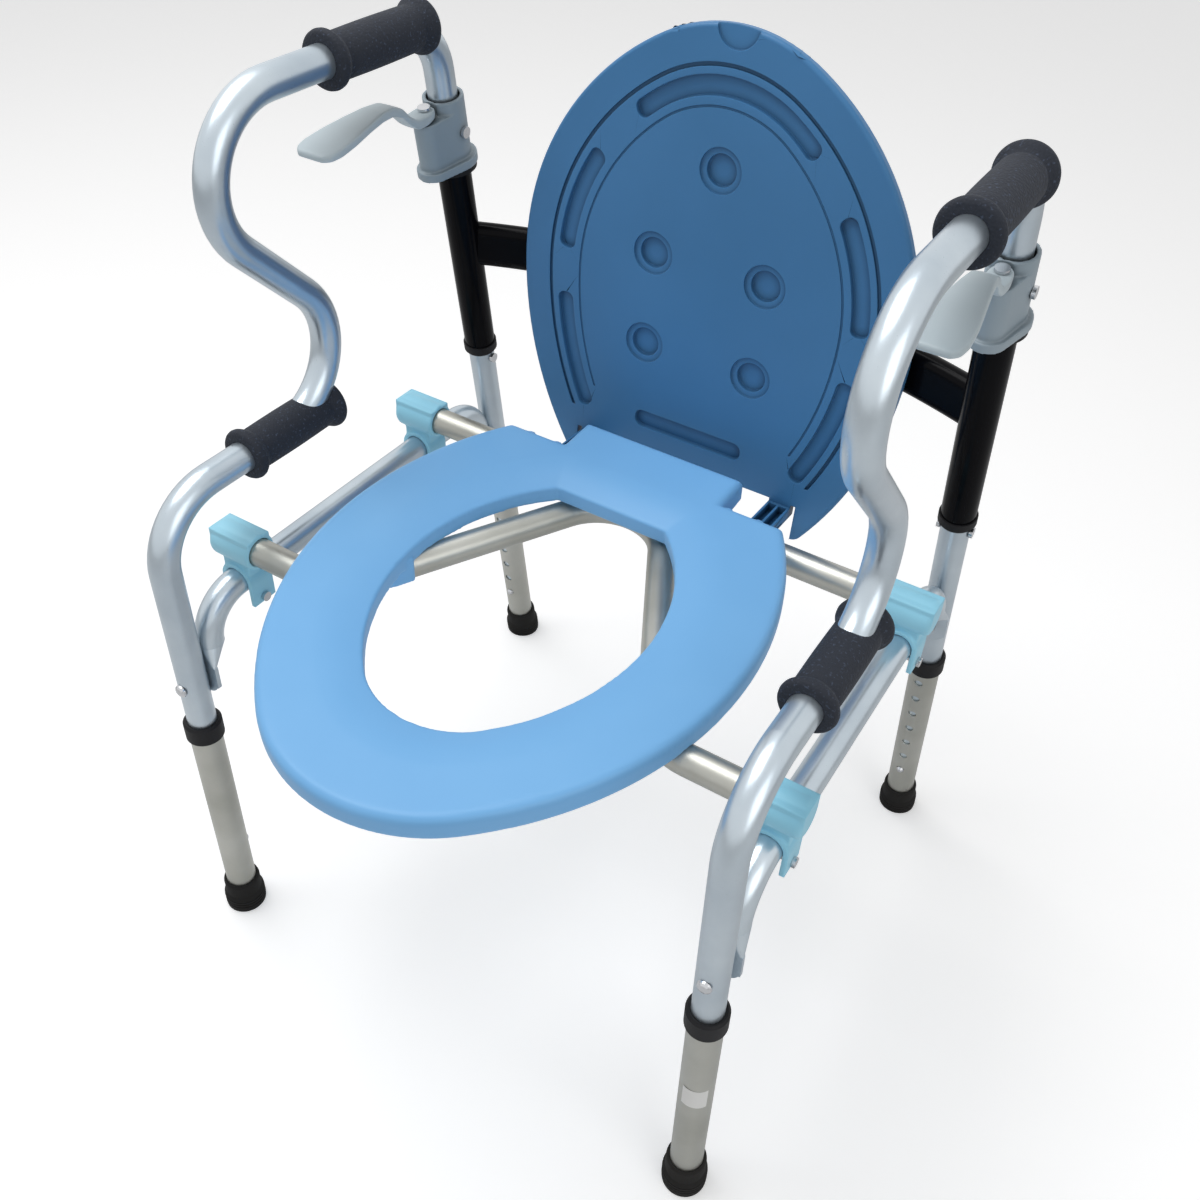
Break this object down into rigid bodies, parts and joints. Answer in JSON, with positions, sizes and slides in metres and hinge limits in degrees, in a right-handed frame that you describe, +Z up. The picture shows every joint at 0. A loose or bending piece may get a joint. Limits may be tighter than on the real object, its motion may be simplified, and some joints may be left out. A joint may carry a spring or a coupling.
{
  "type": "commode chair",
  "caption": "Folding-frame commode chair with bent side frames, height-adjustable legs, a ring seat on clamped tubes and a hinged lid.",
  "frame": {"origin": "centre of the bounding box footprint on the floor", "axes": "+Z up, +X to the right as seen from the front, the user faces -Y"},
  "size_m": [0.572, 0.6364, 0.8201],
  "materials": {
    "upper_tube": "satin anodised",
    "leg_tube": "satin",
    "foot": "matt",
    "black_plastic": "fine grain",
    "steel": "bright plated",
    "grip": "speckled foam",
    "black_gloss": "gloss",
    "lock_plastic": "satin",
    "clamp_plastic": "satin",
    "seat": "satin gloss",
    "lid": "satin gloss"
  },
  "bodies": {
    "frame": {"back_frame": "black_gloss", "clamp_bolts": "steel", "clamps": "clamp_plastic", "collar_bolts": "steel", "collar_washers": "black_plastic", "leg_button_springs": "steel", "lever_pins": "steel", "lock_collars": "lock_plastic", "lower_grips": "grip", "rail_bolts": "steel", "seat_frame": "leg_tube", "side_rail_left": "upper_tube", "side_rail_right": "upper_tube", "side_tube_left": "upper_tube", "side_tube_right": "upper_tube", "sleeve_bushes": "black_plastic", "stop_bolts": "steel", "upper_grips": "grip"},
    "leg_front_left": {"foot_front_left": "foot", "leg_collar_front_left": "black_plastic", "lower_leg_front_left": "leg_tube"},
    "leg_front_right": {"foot_front_right": "foot", "leg_collar_front_right": "black_plastic", "lower_leg_front_right": "leg_tube"},
    "leg_rear_left": {"foot_rear_left": "foot", "leg_collar_rear_left": "black_plastic", "lower_leg_rear_left": "leg_tube"},
    "leg_rear_right": {"foot_rear_right": "foot", "leg_collar_rear_right": "black_plastic", "lower_leg_rear_right": "leg_tube"},
    "seat": {"hinge_pins": "steel", "toilet_seat": "seat"},
    "button_front_left": {"leg_button_front_left": "steel"},
    "button_front_right": {"leg_button_front_right": "steel"},
    "button_rear_left": {"leg_button_rear_left": "steel"},
    "button_rear_right": {"leg_button_rear_right": "steel"},
    "lid": {"lid": "lid"},
    "lever_left": {"lock_lever_left": "lock_plastic"},
    "lever_right": {"lock_lever_right": "lock_plastic"}
  },
  "joints": [
    {"name": "seat_lift", "type": "slide", "parent": "frame", "child": "seat", "axis": [0, 0, 1], "range_m": [0, 0.1]},
    {"name": "lid_hinge", "type": "hinge", "parent": "seat", "child": "lid", "pos_m": [0, 0.13855, 0.4265], "axis": [1, 0, 0], "range_deg": [0, 95.68]},
    {"name": "lever_swing_right", "type": "hinge", "parent": "frame", "child": "lever_right", "pos_m": [0.25174, 0.13949, 0.7243], "axis": [-0.0187, -0.1781, 0.9838], "range_deg": [-20, 20]},
    {"name": "lever_swing_left", "type": "hinge", "parent": "frame", "child": "lever_left", "pos_m": [-0.25174, 0.13949, 0.7243], "axis": [0.0187, -0.1781, 0.9838], "range_deg": [-20, 20]},
    {"name": "leg_length_rear_right", "type": "slide", "parent": "frame", "child": "leg_rear_right", "axis": [0.0187, 0.1781, -0.9838], "range_m": [0, 0.159]},
    {"name": "button_press_rear_right", "type": "slide", "parent": "frame", "child": "button_rear_right", "axis": [-0.0034, 0.984, 0.1781], "range_m": [0, 0.0045], "stiffness_N_per_m": 600},
    {"name": "leg_length_rear_left", "type": "slide", "parent": "frame", "child": "leg_rear_left", "axis": [-0.0187, 0.1781, -0.9838], "range_m": [0, 0.159]},
    {"name": "button_press_rear_left", "type": "slide", "parent": "frame", "child": "button_rear_left", "axis": [0.0034, 0.984, 0.1781], "range_m": [0, 0.0045], "stiffness_N_per_m": 600},
    {"name": "leg_length_front_right", "type": "slide", "parent": "frame", "child": "leg_front_right", "axis": [0.019, 0, -0.9998], "range_m": [0, 0.159]},
    {"name": "button_press_front_right", "type": "slide", "parent": "frame", "child": "button_front_right", "axis": [0, -1, 0], "range_m": [0, 0.0045], "stiffness_N_per_m": 600},
    {"name": "leg_length_front_left", "type": "slide", "parent": "frame", "child": "leg_front_left", "axis": [-0.019, 0, -0.9998], "range_m": [0, 0.159]},
    {"name": "button_press_front_left", "type": "slide", "parent": "frame", "child": "button_front_left", "axis": [0, -1, 0], "range_m": [0, 0.0045], "stiffness_N_per_m": 600}
  ]
}
